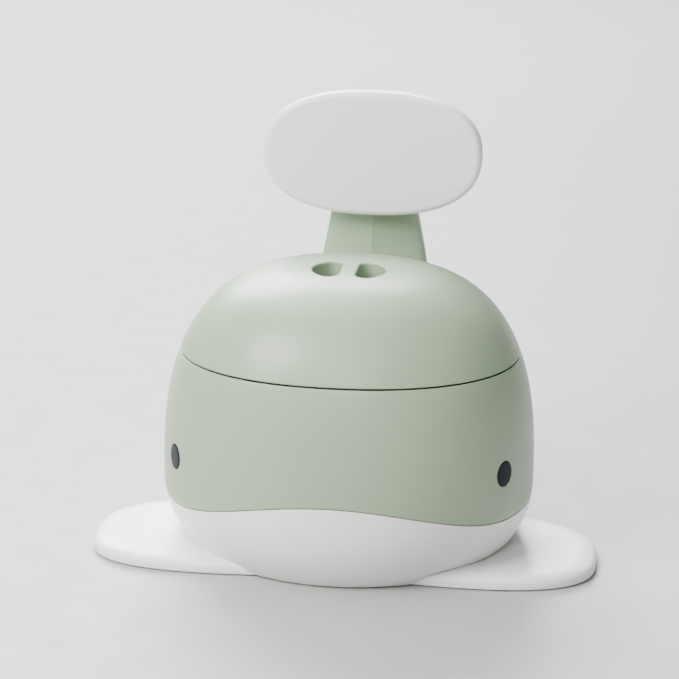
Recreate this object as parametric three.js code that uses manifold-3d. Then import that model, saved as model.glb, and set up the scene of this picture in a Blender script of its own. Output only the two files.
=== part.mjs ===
// A whale-shaped potty training chair, in millimetres, +Z up. The whale faces -Y, and the origin is
// on the floor under the middle of the whole chair. Every sub-part is one closed mesh of its own.
import * as THREE from 'three';
import { mergeVertices } from 'three/addons/utils/BufferGeometryUtils.js';
import Module from 'manifold-3d';

const wasm = await Module();
wasm.setup();

// ---------------------------------------------------------------- driving dimensions

const hull = {
  centreY: -26.05,       // middle of the round body, ahead of the whole chair's middle
  halfWidth: 144.2,      // at its widest level
  depthRatio: 0.882,     // half depth over half width
  squareFoot: 2,         // the plan's exponent at the floor: 2 is an ellipse
  squareRim: 2.2,        // and from the rim upwards
  widestZ: 60.3,
  topZ: 224,
  shoulder: 2.566,       // how early the dome starts to round over
  crown: 3.153,          // how square the dome's shoulder is
  footHalfWidth: 116.5,  // at the floor
  bilge: 2.4,            // how late the belly starts to tuck in
};
const wall = 3;
const gap = 0.3;         // between pieces that touch
const floorGap = 1;      // the rubber feet lift the chair by this much
const segments = 36;     // round the body

const mouth = { middleZ: 57.7, swing: 12.05, waves: 2.864, sideZ: 49, sideStart: 62.8, sideSpan: 30 };
const lap = { height: 6, outerSkin: 1.4, clearance: 0.5 };
const rim = { topZ: 158, thick: 3, ledgeDrop: 4, seatInset: 18.9, potInset: 26.9 };
const lid = { edgeZ: 158.9, sleeveDepth: 16, pocketTopZ: 160.2, pocketSkin: 1.1 };
const blowhole = { halfWidth: 28, halfDepth: 24, bar: 12.7, round: 7.5, sleeveWall: 2.4, offsetY: -15.8 };

const plate = {
  halfSpan: 195.6,
  front: { depth: 87.1, square: 2.9 },  // how far the fins reach ahead of their widest line
  rear: { depth: 72.1, square: 3.14 },
  offsetY: 4.5,          // how far that line starts behind the body's middle
  sweep: 0.141,          // how far the tips lie ahead, over the half span
  topZ: 11.7,
  chamfer: 2.2,
};
const foot = { radius: 9, thick: 2.6, height: 3 };
const eye = { fromFront: 58.8, z: 84.2, halfWidth: 8.9, halfHeight: 9.9, proud: 0.5, recess: 1.4 };

const seat = { outerX: 124, outerY: 109, innerX: 73.4, innerY: 81.4, underZ: 160 };
const guard = { innerX: 70, innerY: 78, wall: 2.6, flange: 9, skirtZ: 158.6, rise: 26 };
const pot = { rimX: 111, rimY: 95.6, innerX: 88, innerY: 83, floorZ: 42, wall: 2.5, footHeight: 3 };
const tail = { wall: 3, topZ: 316, splitGap: 0.2, square: 0.6, ridge: 0.13 };
const pad = {
  halfWidth: 89.3, halfHeight: 50.9, square: 2.4, centreZ: 285, frontY: 126, thick: 14, skin: 3,
};
const screw = { shank: 1.8, head: 4, headHeight: 2.4, hole: 2.2, bossRadius: 5 };

const colour = { sage: 0xb4c3b0, white: 0xe9e8e4, slate: 0x3c444b, rubber: 0x8a8c8c, steel: 0xb8babd };

// ---------------------------------------------------------------- body surface

const signedPower = (value, power) => Math.sign(value) * Math.abs(value) ** power;
const clamp01 = (value) => Math.min(1, Math.max(0, value));
const smooth = (value) => clamp01(value) ** 2 * (3 - 2 * clamp01(value));

// Half width of the body's outer surface at height z.
function hullHalfWidth(z) {
  if (z >= hull.widestZ) {
    const rise = clamp01((z - hull.widestZ) / (hull.topZ - hull.widestZ));
    return hull.halfWidth * (1 - rise ** hull.shoulder) ** (1 / hull.crown);
  }
  const drop = clamp01((hull.widestZ - z) / hull.widestZ);
  return hull.footHalfWidth + (hull.halfWidth - hull.footHalfWidth) * (1 - drop ** hull.bilge);
}

// How square the body's plan is at height z.
const hullSquare = (z) => hull.squareFoot + (hull.squareRim - hull.squareFoot) * clamp01(z / rim.topZ);

// A point on an oval about the body's middle; angle 0 is +X and -90 degrees is the front.
function ovalPoint(halfX, halfY, angle, z, square = 2) {
  const reach = (Math.abs(Math.cos(angle)) ** square + Math.abs(Math.sin(angle)) ** square) ** (-1 / square);
  return new THREE.Vector3(
    halfX * reach * Math.cos(angle), hull.centreY + halfY * reach * Math.sin(angle), z);
}

// A point on the body's surface, moved inwards by inset.
function hullPoint(angle, z, inset = 0) {
  const half = hullHalfWidth(z);
  return ovalPoint(half - inset, half * hull.depthRatio - inset, angle, z, hullSquare(z));
}

// Height of the line between the white belly and the green body, like a gentle smile.
function mouthZ(angle) {
  const turned = THREE.MathUtils.euclideanModulo(THREE.MathUtils.radToDeg(angle) + 270, 360) - 180;
  const fromFront = Math.abs(turned);
  if (fromFront < mouth.sideStart) {
    return mouth.middleZ + mouth.swing * Math.cos(THREE.MathUtils.degToRad(mouth.waves * fromFront));
  }
  const low = mouth.middleZ - mouth.swing;
  return low + (mouth.sideZ - low) * smooth((fromFront - mouth.sideStart) / mouth.sideSpan);
}

// ---------------------------------------------------------------- mesh helpers

const angles = (count) => Array.from({ length: count }, (_, i) => (i / count) * 2 * Math.PI);
const spread = (from, to, count) => (
  Array.from({ length: count }, (_, i) => from + ((to - from) * i) / (count - 1)));

// A closed mesh through rings of equal length. Without wrap, both ends are capped.
function loft(rings, wrap = false) {
  const count = rings[0].length;
  const points = rings.flat();
  const faces = [];
  const spans = wrap ? rings.length : rings.length - 1;
  for (let r = 0; r < spans; r += 1) {
    const a = r * count;
    const b = ((r + 1) % rings.length) * count;
    for (let i = 0; i < count; i += 1) {
      const j = (i + 1) % count;
      faces.push(a + i, a + j, b + j, a + i, b + j, b + i);
    }
  }
  if (!wrap) {
    [0, rings.length - 1].forEach((r) => {
      const middle = rings[r].reduce((sum, p) => sum.add(p), new THREE.Vector3()).divideScalar(count);
      points.push(middle);
      for (let i = 0; i < count; i += 1) {
        const edge = [r * count + i, r * count + ((i + 1) % count)];
        if (r === 0) edge.reverse();
        faces.push(edge[0], edge[1], points.length - 1);
      }
    });
  }
  return orient(points, faces);
}

// Turns all faces over when they point inwards.
function orient(points, faces) {
  let volume = 0;
  for (let i = 0; i < faces.length; i += 3) {
    const [a, b, c] = [points[faces[i]], points[faces[i + 1]], points[faces[i + 2]]];
    volume += a.dot(new THREE.Vector3().crossVectors(b, c));
  }
  if (volume < 0) faces.reverse();
  const geometry = new THREE.BufferGeometry();
  const numbers = points.flatMap((p) => [p.x, p.y, p.z]);
  geometry.setAttribute('position', new THREE.Float32BufferAttribute(numbers, 3));
  geometry.setIndex(faces);
  return geometry;
}

function solid(geometry) {
  const bare = geometry.clone();
  bare.deleteAttribute('normal');
  bare.deleteAttribute('uv');
  const merged = mergeVertices(bare, 1e-4);
  return new wasm.Manifold(new wasm.Mesh({
    numProp: 3,
    vertProperties: new Float32Array(merged.attributes.position.array),
    triVerts: new Uint32Array(merged.index.array),
  }));
}

function geometryOf(manifold) {
  const mesh = manifold.getMesh();
  const geometry = new THREE.BufferGeometry();
  geometry.setAttribute('position', new THREE.Float32BufferAttribute(mesh.vertProperties, 3));
  geometry.setIndex(Array.from(mesh.triVerts));
  return geometry;
}

const joined = (first, ...others) => others.reduce((sum, other) => sum.add(other), first);
const without = (first, ...others) => others.reduce((left, other) => left.subtract(other), first);

function boxSolid(low, high) {
  const size = high.map((value, i) => value - low[i]);
  const geometry = new THREE.BoxGeometry(...size);
  geometry.translate(...low.map((value, i) => value + size[i] / 2));
  return solid(geometry);
}

// A cylinder from one point to another.
function rodSolid(radius, from, to, sides = 8) {
  const start = new THREE.Vector3(...from);
  const along = new THREE.Vector3(...to).sub(start);
  const geometry = new THREE.CylinderGeometry(radius, radius, along.length(), sides);
  geometry.translate(0, along.length() / 2, 0);
  const turn = new THREE.Quaternion().setFromUnitVectors(new THREE.Vector3(0, 1, 0), along.normalize());
  geometry.applyQuaternion(turn);
  geometry.translate(...start.toArray());
  return solid(geometry);
}

// The body's whole outer form as one solid, grown by the given amount.
function hullSolid(grow, fromZ, toZ, levels = 10) {
  const turns = angles(segments);
  const rings = spread(0, 1, levels).map((share) => {
    const z = fromZ + (toZ - fromZ) * Math.sin((share * Math.PI) / 2);
    return turns.map((angle) => hullPoint(angle, z, -grow));
  });
  return solid(loft(rings));
}

const chair = new THREE.Group();

function add(name, geometry, color, roughness = 0.5, metalness = 0) {
  const material = new THREE.MeshStandardMaterial({ color, roughness, metalness });
  const mesh = new THREE.Mesh(geometry, material);
  mesh.name = name;
  chair.add(mesh);
  return mesh;
}

// ---------------------------------------------------------------- base plate with the two fins

function plateOutline(grow, z, count = 44) {
  return angles(count).map((angle) => {
    const { depth, square } = Math.sin(angle) < 0 ? plate.front : plate.rear;
    const x = (plate.halfSpan + grow) * signedPower(Math.cos(angle), 2 / square);
    const y = (depth + grow) * signedPower(Math.sin(angle), 2 / square);
    return new THREE.Vector3(x, hull.centreY + plate.offsetY + y - plate.sweep * Math.abs(x), z);
  });
}

const bottomZ = floorGap;
const bossSpots = [[-84, -52], [0, -88], [84, -52], [84, 52], [0, 88], [-84, 52]];
const footSpots = [[-160, -22], [-52, -72], [52, -72], [160, -22], [-52, 74], [52, 74]];

function makeBasePlate() {
  const { topZ, chamfer } = plate;
  const fins = loft([
    plateOutline(-chamfer, bottomZ),
    plateOutline(0, bottomZ + chamfer),
    plateOutline(0, topZ - chamfer),
    plateOutline(-chamfer, topZ),
  ]);
  const floor = loft([3, 7].map((z) => angles(segments).map((angle) => hullPoint(angle, bottomZ, wall + gap)
    .setZ(z + bottomZ))));
  let body = joined(solid(fins), solid(floor));
  const well = foot.height - floorGap;
  footSpots.forEach(([x, y]) => {
    const at = hull.centreY + y;
    const stub = rodSolid(foot.radius + 2, [x, at, bottomZ], [x, at, bottomZ + 5], 12);
    const wellSpace = rodSolid(foot.radius + gap, [x, at, 0], [x, at, bottomZ + well + gap], 12);
    body = without(joined(body, stub), wellSpace);
  });
  bossSpots.forEach(([x, y]) => {
    const at = hull.centreY + y;
    body = joined(body, rodSolid(screw.head + 2.5, [x, at, bottomZ], [x, at, 8]));
    body = without(body, rodSolid(screw.hole, [x, at, 0], [x, at, plate.topZ + 2]));
    body = without(body, rodSolid(screw.head + gap, [x, at, 0], [x, at, bottomZ + 3.5]));
  });
  add('base_plate', geometryOf(body), colour.white);
}

// ---------------------------------------------------------------- belly shell

function makeBelly() {
  const turns = angles(segments);
  const ring = (z, inset) => turns.map((angle) => hullPoint(angle, z(angle), inset));
  const shares = [0, 0.33, 0.67, 1];
  const height = (share) => (angle) => bottomZ + (mouthZ(angle) - bottomZ) * share;
  const rings = shares.map((share) => ring(height(share), 0));
  rings.push(ring(mouthZ, lap.outerSkin + lap.clearance));
  rings.push(ring((angle) => mouthZ(angle) + lap.height, lap.outerSkin + lap.clearance));
  rings.push(ring((angle) => mouthZ(angle) + lap.height, wall));
  rings.push(...shares.toReversed().map((share) => ring(height(share), wall)));
  let body = solid(loft(rings, true));
  const inside = hullSolid(-wall / 2, 0, hull.widestZ);
  const bossTop = 30;
  const bossBase = 8.4;
  bossSpots.forEach(([x, y]) => {
    const outward = new THREE.Vector2(x, y).normalize().multiplyScalar(40);
    const at = [x, hull.centreY + y];
    const boss = rodSolid(screw.bossRadius, [...at, bossBase], [...at, bossTop]);
    const ribGeometry = new THREE.BoxGeometry(40, 3, bossTop - bossBase);
    ribGeometry.translate(20, 0, (bossTop + bossBase) / 2);
    ribGeometry.rotateZ(outward.angle());
    ribGeometry.translate(...at, 0);
    body = joined(body, joined(boss, solid(ribGeometry)).intersect(inside));
  });
  bossSpots.forEach(([x, y]) => {
    const at = [x, hull.centreY + y];
    body = without(body, rodSolid(screw.shank + gap, [...at, 0], [...at, bossTop - 3]));
  });
  const finWay = solid(loft([0, plate.topZ + gap].map((z) => plateOutline(gap, z))));
  return without(body, finWay);
}

// ---------------------------------------------------------------- body shell

// Where the eyes sit: the point, and the frame that faces out of the body there.
function eyeFrame(side) {
  const angle = THREE.MathUtils.degToRad(-90 + side * eye.fromFront);
  const point = hullPoint(angle, eye.z);
  const nudge = 1e-2;
  const around = hullPoint(angle + nudge, eye.z).sub(hullPoint(angle - nudge, eye.z)).normalize();
  const upward = hullPoint(angle, eye.z + 1).sub(hullPoint(angle, eye.z - 1)).normalize();
  const outward = new THREE.Vector3().crossVectors(around, upward).normalize();
  return new THREE.Matrix4().makeBasis(around, upward, outward).setPosition(point);
}

function eyeSolid(side, grow, from, to, pin) {
  const disc = loft([from, to].map((depth) => angles(18).map((turn) => new THREE.Vector3(
    (eye.halfWidth + grow) * Math.cos(turn),
    (eye.halfHeight + grow) * Math.sin(turn),
    depth,
  ))));
  disc.applyMatrix4(eyeFrame(side));
  const pinPoints = [from + 0.2, pin].map((depth) => (
    new THREE.Vector3(0, 0, depth).applyMatrix4(eyeFrame(side))));
  return joined(solid(disc), rodSolid(2.4 + grow, pinPoints[0].toArray(), pinPoints[1].toArray(), 8));
}

const tailScrewSpots = [[-30, 98], [30, 98], [-30, 132], [30, 132]];

function makeBody() {
  const turns = angles(segments);
  const ring = (z, inset) => turns.map((angle) => hullPoint(angle, z(angle), inset));
  const base = (angle) => mouthZ(angle) + gap;
  const lapTop = (angle) => mouthZ(angle) + lap.height + gap;
  const level = (z) => () => z;
  const shares = spread(0, 1, 5);
  const between = (low, high, share) => (angle) => low(angle) + (high(angle) - low(angle)) * share;
  const top = level(rim.topZ);
  const under = level(rim.topZ - rim.thick);
  const rimRing = (inset, z) => turns.map((angle) => hullPoint(angle, rim.topZ, inset).setZ(z));
  const ledgeZ = rim.topZ - rim.ledgeDrop;
  const rings = [
    ...shares.map((share) => ring(between(base, top, share), 0)),
    rimRing(rim.seatInset, rim.topZ),
    rimRing(rim.seatInset, ledgeZ),
    rimRing(rim.potInset, ledgeZ),
    rimRing(rim.potInset, ledgeZ - rim.thick),
    rimRing(rim.seatInset - rim.thick, ledgeZ - rim.thick),
    rimRing(rim.seatInset - rim.thick, rim.topZ - rim.thick),
    ring(under, wall),
    ...shares.slice(1, -1).toReversed().map((share) => ring(between(lapTop, under, share), wall)),
    ring(lapTop, wall),
    ring(lapTop, lap.outerSkin),
    ring(base, lap.outerSkin),
  ];
  let body = solid(loft(rings, true));
  [-1, 1].forEach((side) => {
    body = without(body, eyeSolid(side, gap, -eye.recess - gap, 4, -8));
  });
  tailScrewSpots.forEach(([x, z]) => {
    const y = hull.centreY + hull.halfWidth * hull.depthRatio;
    body = without(body, rodSolid(screw.hole, [x, y - 20, z], [x, y + 10, z]));
  });
  return body;
}

function makeEyes() {
  [['eye_left', -1], ['eye_right', 1]].forEach(([name, side]) => {
    add(name, geometryOf(eyeSolid(side, 0, -eye.recess, eye.proud, -6)), colour.slate, 0.4);
  });
}

// ---------------------------------------------------------------- lid

// Half of an oval beside the middle bar, with round corners, and grown outwards by the given
// amount. A smaller half oval is drawn first, and every point then moves out by the same distance.
function blowholeOutline(side, grow) {
  const { halfWidth, halfDepth, bar, round } = blowhole;
  const wide = halfWidth - round;
  const deep = halfDepth - round;
  const inner = bar / 2 + round;
  const radius = round + grow;
  const cornerTurn = Math.acos(inner / wide);
  const cornerY = deep * Math.sin(cornerTurn);
  const tilt = Math.atan2(Math.sin(cornerTurn) / deep, Math.cos(cornerTurn) / wide);
  const curved = spread(-cornerTurn, cornerTurn, 13).map((turn) => {
    const out = new THREE.Vector2(Math.cos(turn) / wide, Math.sin(turn) / deep).normalize();
    return [wide * Math.cos(turn) + radius * out.x, deep * Math.sin(turn) + radius * out.y];
  });
  const corner = (sideY, from, to) => spread(from, to, 5).map((turn) => (
    [inner + radius * Math.cos(turn), sideY + radius * Math.sin(turn)]));
  const rear = corner(cornerY, tilt, Math.PI).slice(1);
  const front = corner(-cornerY, Math.PI, 2 * Math.PI - tilt).slice(0, -1);
  return [...curved, ...rear, ...front].map(([x, y]) => [x * side, y + hull.centreY + blowhole.offsetY]);
}

function blowholeSolid(side, grow, low, high) {
  const outline = blowholeOutline(side, grow);
  return solid(loft([low, high].map((z) => outline.map(([x, y]) => new THREE.Vector3(x, y, z)))));
}

function makeLid() {
  const turns = angles(segments);
  const levels = (top) => spread(0, 1, 8).slice(0, -1).map((share) => (
    lid.edgeZ + (top - lid.edgeZ) * Math.sin((share * Math.PI) / 2)));
  const outer = levels(hull.topZ).map((z) => turns.map((angle) => hullPoint(angle, z)));
  const crown = hullPoint(0, hull.topZ - 0.4).x;
  outer.push(turns.map((angle) => (
    ovalPoint(crown, crown * hull.depthRatio, angle, hull.topZ - 0.1, hull.squareRim))));
  const lower = (ring) => ring.map((p) => {
    const half = new THREE.Vector2(p.x, p.y - hull.centreY).length();
    const inward = Math.max(0, half - wall) / half;
    return new THREE.Vector3(p.x * inward, hull.centreY + (p.y - hull.centreY) * inward, p.z);
  });
  const inner = outer.map((ring) => lower(ring)).map((ring, i) => {
    const drop = wall * (1 - Math.sqrt(1 - (i / (outer.length - 1)) ** 2));
    return ring.map((p) => p.setZ(p.z - drop));
  });
  let body = solid(loft([...outer.toReversed(), ...inner]));
  const below = hull.topZ - lid.sleeveDepth;
  const dome = solid(loft(outer));
  [-1, 1].forEach((side) => {
    body = joined(body, blowholeSolid(side, blowhole.sleeveWall, below, hull.topZ + 2).intersect(dome));
  });
  [-1, 1].forEach((side) => {
    body = without(body, blowholeSolid(side, 0, below - 2, hull.topZ + 4));
  });
  padTurns.forEach((turn) => {
    const pocket = edgeBlock(turn, 0.056, [lid.pocketSkin, wall + 2], [lid.edgeZ - 1, lid.pocketTopZ]);
    body = without(body, solid(pocket));
  });
  return body;
}

const padTurns = [45, 135, 225, 315];

// A short block that follows the lid's edge, between two insets and two heights.
function edgeBlock(turn, halfTurn, [outerInset, innerInset], [low, high]) {
  const middle = THREE.MathUtils.degToRad(turn);
  const rings = spread(-halfTurn, halfTurn, 5).map((shift) => {
    const inner = hullPoint(middle + shift, lid.edgeZ, innerInset);
    const outer = hullPoint(middle + shift, lid.edgeZ, outerInset);
    return [[inner, low], [outer, low], [outer, high], [inner, high]].map(([p, z]) => p.clone().setZ(z));
  });
  return loft(rings);
}

// The lid stands on soft pads, each in a pocket behind the edge's outer skin.
function makeLidPads() {
  padTurns.forEach((turn, i) => {
    const insets = [lid.pocketSkin + gap, wall - gap];
    const block = edgeBlock(turn, 0.05, insets, [rim.topZ + gap, lid.pocketTopZ - gap]);
    add(`lid_pad_${i + 1}`, block, colour.rubber, 0.8);
  });
}

// ---------------------------------------------------------------- seat ring and splash guard

function makeSeat() {
  const turns = angles(segments);
  // Share 0 is the edge of the opening and 1 the seat's outer edge.
  const ring = (share, z) => turns.map((angle) => {
    const halfX = seat.innerX + (seat.outerX - seat.innerX) * share;
    const halfY = seat.innerY + (seat.outerY - seat.innerY) * share;
    return ovalPoint(halfX, halfY, angle, seat.underZ + z);
  });
  const top = [ring(0, 2.5), ring(0, 8.6), ring(0.2, 8.6), ring(0.5, 11), ring(0.8, 10), ring(1, 3)];
  const under = [ring(1, 0), ring(0.94, 0), ring(0.92, 4), ring(0.5, 7.8), ring(0.07, 5.5), ring(0.05, 2.5)];
  add('seat_ring', loft([...top, ...under], true), colour.white, 0.45);
}

// A collar clipped into the seat's opening. It rises at the front and reaches down into the pot.
function makeSplashGuard() {
  const turns = angles(segments);
  const ring = (offset, z, riseShare = 0) => turns.map((angle) => {
    const fromFront = Math.abs(THREE.MathUtils.euclideanModulo(angle + 1.5 * Math.PI, 2 * Math.PI) - Math.PI);
    const rise = guard.rise * riseShare * (1 - smooth((fromFront - 0.22) / 0.6));
    return ovalPoint(guard.innerX + offset, guard.innerY + offset, angle, z + rise);
  });
  const { wall: skin, flange, skirtZ } = guard;
  const flangeZ = seat.underZ + 8.9;
  const rings = [
    ring(0, skirtZ), ring(0, flangeZ + 1.7, 1), ring(0.9, flangeZ + 2.9, 1), ring(2.2, flangeZ + 2.9, 1),
    ring(3.2, flangeZ + 2.3, 1), ring(3.8, flangeZ + 2.1), ring(flange - 1, flangeZ + 1.3),
    ring(flange, flangeZ + 0.5), ring(flange - 0.4, flangeZ), ring(skin, flangeZ), ring(skin, skirtZ),
  ];
  add('splash_guard', loft(rings, true), colour.white, 0.45);
}

function makeSeatPads() {
  padTurns.forEach((turn, i) => {
    const angle = THREE.MathUtils.degToRad(turn);
    const low = rim.topZ + gap;
    const high = seat.underZ + 4;
    const at = ovalPoint(seat.outerX - 9, seat.outerY - 9, angle, (low + high) / 2);
    const geometry = new THREE.CylinderGeometry(2.4, 2.8, high - low, 12);
    geometry.rotateX(Math.PI / 2);
    geometry.translate(...at.toArray());
    add(`seat_pad_${i + 1}`, geometry, colour.rubber, 0.8);
  });
}

// ---------------------------------------------------------------- inner pot

function makePot() {
  const turns = angles(segments);
  const ring = (halfX, halfY, z) => turns.map((angle) => ovalPoint(halfX, halfY, angle, z));
  const rimZ = rim.topZ - rim.ledgeDrop + gap;
  const { innerX, innerY, floorZ, wall: skin } = pot;
  const depth = rimZ - floorZ;
  // The bowl narrows towards a flat floor with a round turn between them.
  const bowl = [[1, 1], [0.96, 0.6], [0.88, 0.28], [0.74, 0.07], [0.52, 0]];
  const rings = [
    ...bowl.toReversed().map(([share, high]) => (
      ring(innerX * share + skin, innerY * share + skin, floorZ - skin + (depth + skin) * high))),
    ring(pot.rimX, pot.rimY, rimZ),
    ring(pot.rimX, pot.rimY, rimZ + skin),
    ...bowl.map(([share, high]) => ring(innerX * share, innerY * share, floorZ + (depth + skin) * high)),
  ];
  let body = solid(loft(rings));
  const footRing = loft([
    ring(innerX * 0.62, innerY * 0.62, floorZ - skin - pot.footHeight),
    ring(innerX * 0.62, innerY * 0.62, floorZ + 0.8),
    ring(innerX * 0.58, innerY * 0.58, floorZ + 0.8),
    ring(innerX * 0.58, innerY * 0.58, floorZ - skin - pot.footHeight),
  ], true);
  body = joined(body, solid(footRing));
  return body;
}

// ---------------------------------------------------------------- tail

// Level, front and rear measured from the body's middle, and half width. The front face slopes back
// a little to both sides of the line where the two halves meet.
const tailLevels = [
  [62, 112, 131, 43], [70, 112, 138, 49], [84, 112, 148.5, 55], [100, 112, 158, 58], [118, 112, 166, 57],
  [136, 113, 172, 54.5], [150, 127, 175.5, 52], [162, 134, 178, 49.5], [182, 142.5, 179.3, 45.5],
  [202, 145, 179, 41.9], [220, 145.2, 177.6, 38.4], [236, 144.6, 175.8, 35.6], [262, 143.7, 171.5, 33],
  [290, 143.6, 165.5, 31.5], [306, 143.6, 160.5, 28], [316, 143.6, 155.5, 22],
];

function tailRings(inset) {
  return tailLevels.map(([z, front, rear, half]) => {
    const middle = hull.centreY + (front + rear) / 2;
    const deep = (rear - front) / 2 - inset;
    return angles(16).map((angle) => {
      const x = (half - inset) * signedPower(Math.cos(angle), tail.square);
      const slope = tail.ridge * Math.abs(x) * Math.max(0, -Math.sin(angle));
      return new THREE.Vector3(x, middle + deep * signedPower(Math.sin(angle), tail.square) + slope, z);
    });
  });
}

// Sideways place, height, and how far behind the tail's front face the screw's head seats.
const padScrewSpots = [[-17, 262, 22], [17, 262, 22], [-17, 296, 14.5], [17, 296, 14.5]];
const padSeatY = 143.6;  // the tail's front face behind the backrest, from the body's middle

function makeTail() {
  const hollowRings = tailRings(tail.wall);
  hollowRings[hollowRings.length - 1].forEach((p) => p.setZ(tail.topZ - tail.wall));
  const outer = solid(loft(tailRings(0)));
  const hollow = solid(loft(hollowRings));
  let body = without(outer, hollow);
  const wallY = hull.centreY + hull.halfWidth * hull.depthRatio;
  tailScrewSpots.forEach(([x, z]) => {
    body = joined(body, rodSolid(screw.bossRadius, [x, wallY - 12, z], [x, wallY + 50, z]).intersect(outer));
  });
  padScrewSpots.forEach(([x, z]) => {
    body = joined(body, rodSolid(screw.bossRadius + 1.5, [x, wallY, z], [x, wallY + 50, z]).intersect(outer));
  });
  tailScrewSpots.forEach(([x, z]) => {
    body = without(body, rodSolid(screw.shank + gap, [x, wallY - 20, z], [x, wallY + 15, z]));
  });
  padScrewSpots.forEach(([x, z, seatDepth]) => {
    const front = hull.centreY + padSeatY;
    body = without(body, rodSolid(screw.hole, [x, front - 5, z], [x, front + 40, z]));
    body = without(body, rodSolid(screw.head + gap, [x, front + seatDepth, z], [x, front + 60, z]));
  });
  body = without(body, hullSolid(2 * gap, hull.widestZ, hull.topZ - 0.5, 11));
  const half = tail.splitGap / 2;
  const reach = 400;
  [['tail_left', -1], ['tail_right', 1]].forEach(([name, side]) => {
    const low = side < 0 ? -reach : half;
    const high = side < 0 ? -half : reach;
    const piece = body.intersect(boxSolid([low, -reach, 0], [high, reach, reach]));
    add(name, geometryOf(piece), colour.sage);
  });
}

// ---------------------------------------------------------------- backrest

function padOutline(grow, y) {
  return angles(36).map((angle) => new THREE.Vector3(
    (pad.halfWidth + grow) * signedPower(Math.cos(angle), 2 / pad.square),
    hull.centreY + y,
    pad.centreZ + (pad.halfHeight + grow) * signedPower(Math.sin(angle), 2 / pad.square),
  ));
}

function makeBackrest() {
  const { frontY, thick, skin } = pad;
  const back = frontY + thick;
  const front = solid(loft([
    padOutline(-3.5, frontY), padOutline(-1, frontY + 1), padOutline(0, frontY + 3.5), padOutline(0, back),
    padOutline(-skin, back), padOutline(-skin, frontY + skin + 1), padOutline(-skin - 2, frontY + skin),
  ]));
  const rear = solid(loft([
    padOutline(0, back + gap), padOutline(-0.5, back + 2), padOutline(-2.5, back + 3),
  ]));
  let shell = front;
  let cover = rear;
  padScrewSpots.forEach(([x, z]) => {
    const at = (y) => [x, hull.centreY + y, z];
    shell = joined(shell, rodSolid(screw.bossRadius, at(frontY + skin - 0.5), at(back)));
  });
  padScrewSpots.forEach(([x, z]) => {
    const at = (y) => [x, hull.centreY + y, z];
    shell = without(shell, rodSolid(screw.shank + gap, at(frontY + skin + 1.5), at(back + 5)));
    cover = without(cover, rodSolid(screw.hole, at(back - 5), at(back + 10)));
  });
  add('backrest_front', geometryOf(shell), colour.white);
  add('backrest_rear', geometryOf(cover), colour.white);
}

// ---------------------------------------------------------------- screws and feet

// A pan-head screw along +Z: the head sits below the origin and the shank runs up from it.
function screwGeometry(length) {
  const { shank, head, headHeight } = screw;
  const outline = [
    [0, -headHeight], [head * 0.7, -headHeight], [head, -headHeight * 0.5], [head, 0], [shank, 0],
    [shank, length], [0, length],
  ];
  const geometry = new THREE.LatheGeometry(outline.map(([r, z]) => new THREE.Vector2(r, z)), 8);
  geometry.rotateX(Math.PI / 2);
  return geometry;
}

function addScrew(name, spot, length, turnX) {
  const mesh = add(name, screwGeometry(length), colour.steel, 0.35, 0.9);
  mesh.rotation.x = turnX;
  mesh.position.set(...spot);
}

function makeScrews() {
  bossSpots.forEach(([x, y], i) => {
    addScrew(`base_screw_${i + 1}`, [x, hull.centreY + y, bottomZ + 3.2], 20, 0);
  });
  tailScrewSpots.forEach(([x, z], i) => {
    const seatY = hull.centreY + hullHalfWidth(z) * hull.depthRatio - wall - 6;
    addScrew(`tail_screw_${i + 1}`, [x, seatY, z], 18, -Math.PI / 2);
  });
  padScrewSpots.forEach(([x, z, seatDepth], i) => {
    const seatY = hull.centreY + padSeatY + seatDepth + gap;
    addScrew(`backrest_screw_${i + 1}`, [x, seatY, z], seatDepth + 8, Math.PI / 2);
  });
}

function makeFeet() {
  footSpots.forEach(([x, y], i) => {
    const geometry = new THREE.LatheGeometry([
      [0, 0], [foot.radius - 1, 0], [foot.radius, 0.8], [foot.radius, foot.thick], [0, foot.thick],
    ].map(([r, z]) => new THREE.Vector2(r, z)), 12);
    geometry.rotateX(Math.PI / 2);
    const mesh = add(`rubber_foot_${i + 1}`, geometry, colour.rubber, 0.85);
    mesh.position.set(x, hull.centreY + y, 0);
  });
}

makeBasePlate();
add('belly_shell', geometryOf(makeBelly()), colour.white);
add('body_shell', geometryOf(makeBody()), colour.sage);
makeEyes();
add('inner_pot', geometryOf(makePot()), colour.white, 0.4);
makeSeat();
makeSplashGuard();
makeSeatPads();
add('lid_dome', geometryOf(makeLid()), colour.sage);
makeLidPads();
makeTail();
makeBackrest();
makeScrews();
makeFeet();

export default chair;
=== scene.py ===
"""Looks of the whale-shaped potty training chair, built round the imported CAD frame.

Lengths are in millimetres until a mesh is made, and the meshes are in metres. The whale faces -Y.
"""

import math

import bmesh
import bpy
import numpy as np
from mathutils import Matrix, Vector
from mathutils.geometry import delaunay_2d_cdt


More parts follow.
